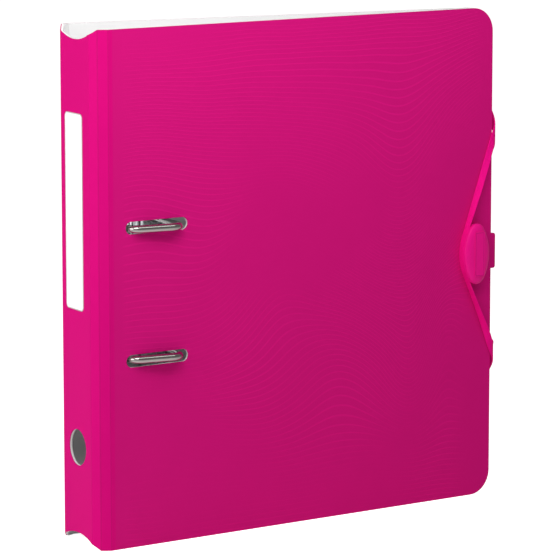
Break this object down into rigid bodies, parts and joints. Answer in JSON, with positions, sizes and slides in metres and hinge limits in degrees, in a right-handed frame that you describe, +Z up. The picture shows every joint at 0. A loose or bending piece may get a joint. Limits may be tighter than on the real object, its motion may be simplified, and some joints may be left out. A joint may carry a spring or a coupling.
{
  "type": "ring binder",
  "caption": "Lever arch binder with a wedge-shaped folding plastic case, lever-opened rings that show through slots in the front cover, a spine label and an elastic closure on a button",
  "frame": {"origin": "middle of the back cover's core at its lower edge, on the standing surface", "axes": "+Z up the standing binder, +X from the spine towards the fore-edge along the back cover, +Y out of the back cover, so the front cover is on the -Y side"},
  "size_m": [0.3031, 0.0561, 0.318],
  "materials": {
    "pink_skin": "embossed, semi-gloss",
    "white_core": "smooth, satin",
    "label_paper": "satin",
    "plated_steel": "bright zinc plate",
    "ring_chrome": "bright nickel plate",
    "black_plastic": "fine texture",
    "roller_plastic": "smooth",
    "button_pink": "semi-gloss",
    "elastic_pink": "woven, flat"
  },
  "bodies": {
    "back_cover": {"back_core": "white_core", "back_skin": "pink_skin", "base_plate": "plated_steel", "ring_post_upper": "ring_chrome", "ring_post_lower": "ring_chrome", "lever_pin": "plated_steel", "rivet_upper_near": "plated_steel", "rivet_upper_far": "plated_steel", "rivet_lower_near": "plated_steel", "rivet_lower_far": "plated_steel", "elastic_loop": "elastic_pink", "elastic_back_upper": "elastic_pink", "elastic_back_lower": "elastic_pink", "elastic_end_upper": "plated_steel", "elastic_end_lower": "plated_steel"},
    "back_strip_outer": {"back_strip_outer_core": "white_core", "back_strip_outer_skin": "pink_skin"},
    "back_strip_inner": {"back_strip_inner_core": "white_core", "back_strip_inner_skin": "pink_skin"},
    "spine": {"spine_core": "white_core", "spine_skin": "pink_skin", "spine_label": "label_paper"},
    "front_strip_inner": {"front_strip_inner_core": "white_core", "front_strip_inner_skin": "pink_skin"},
    "front_strip_outer": {"front_strip_outer_core": "white_core", "front_strip_outer_skin": "pink_skin"},
    "front_cover": {"front_core": "white_core", "front_skin": "pink_skin", "button_neck": "button_pink", "button_cap": "button_pink", "button_washer": "plated_steel"},
    "arch_wire": {"arch_wire": "ring_chrome"},
    "lever": {"lever_arm": "plated_steel", "lever_grip": "black_plastic", "roller_pin": "plated_steel"},
    "roller": {"roller": "roller_plastic"},
    "compressor": {"compressor_bar": "plated_steel"}
  },
  "joints": [
    {"name": "back_fold_1", "type": "hinge", "parent": "back_cover", "child": "back_strip_outer", "pos_m": [-0.1455, 0.00085, 0.159], "axis": [0, 0, -1], "range_deg": [0, 31.6], "deforming": ["elastic_loop"]},
    {"name": "back_fold_2", "type": "hinge", "parent": "back_strip_outer", "child": "back_strip_inner", "pos_m": [-0.15069, -0.00235, 0.159], "axis": [0, 0, -1], "range_deg": [0, 31.6]},
    {"name": "back_fold_3", "type": "hinge", "parent": "back_strip_inner", "child": "spine", "pos_m": [-0.15344, -0.0078, 0.159], "axis": [0, 0, -1], "range_deg": [0, 31.6]},
    {"name": "front_fold_1", "type": "hinge", "parent": "spine", "child": "front_strip_inner", "pos_m": [-0.15022, -0.04516, 0.159], "axis": [0, 0, -1], "range_deg": [0, 31.6]},
    {"name": "front_fold_2", "type": "hinge", "parent": "front_strip_inner", "child": "front_strip_outer", "pos_m": [-0.14659, -0.05006, 0.159], "axis": [0, 0, -1], "range_deg": [0, 31.6]},
    {"name": "front_fold_3", "type": "hinge", "parent": "front_strip_outer", "child": "front_cover", "pos_m": [-0.14093, -0.05233, 0.159], "axis": [0, 0, -1], "range_deg": [0, 31.6]},
    {"name": "arch_swing", "type": "hinge", "parent": "back_cover", "child": "arch_wire", "pos_m": [-0.12634, -0.0063, 0.1566], "axis": [0, 0, -1], "range_deg": [0, 40]},
    {"name": "lever_lift", "type": "hinge", "parent": "back_cover", "child": "lever", "pos_m": [-0.11704, -0.0137, 0.1856], "axis": [-1, 0, 0], "range_deg": [0, 80]},
    {"name": "roller_spin", "type": "hinge", "parent": "lever", "child": "roller", "pos_m": [-0.11704, -0.0129, 0.1566], "axis": [1, 0, 0], "continuous": true},
    {"name": "compressor_slide", "type": "slide", "parent": "back_cover", "child": "compressor", "axis": [0, -1, 0], "range_m": [0, 0.026]}
  ],
  "couplings": [
    {"joint": "back_fold_2", "follows": "back_fold_1", "ratio": 1},
    {"joint": "back_fold_3", "follows": "back_fold_1", "ratio": 1},
    {"joint": "front_fold_1", "follows": "back_fold_1", "ratio": 1},
    {"joint": "front_fold_2", "follows": "back_fold_1", "ratio": 1},
    {"joint": "front_fold_3", "follows": "back_fold_1", "ratio": 1},
    {"joint": "arch_swing", "follows": "back_fold_1", "ratio": 1.265},
    {"joint": "lever_lift", "follows": "back_fold_1", "ratio": 2.53}
  ]
}
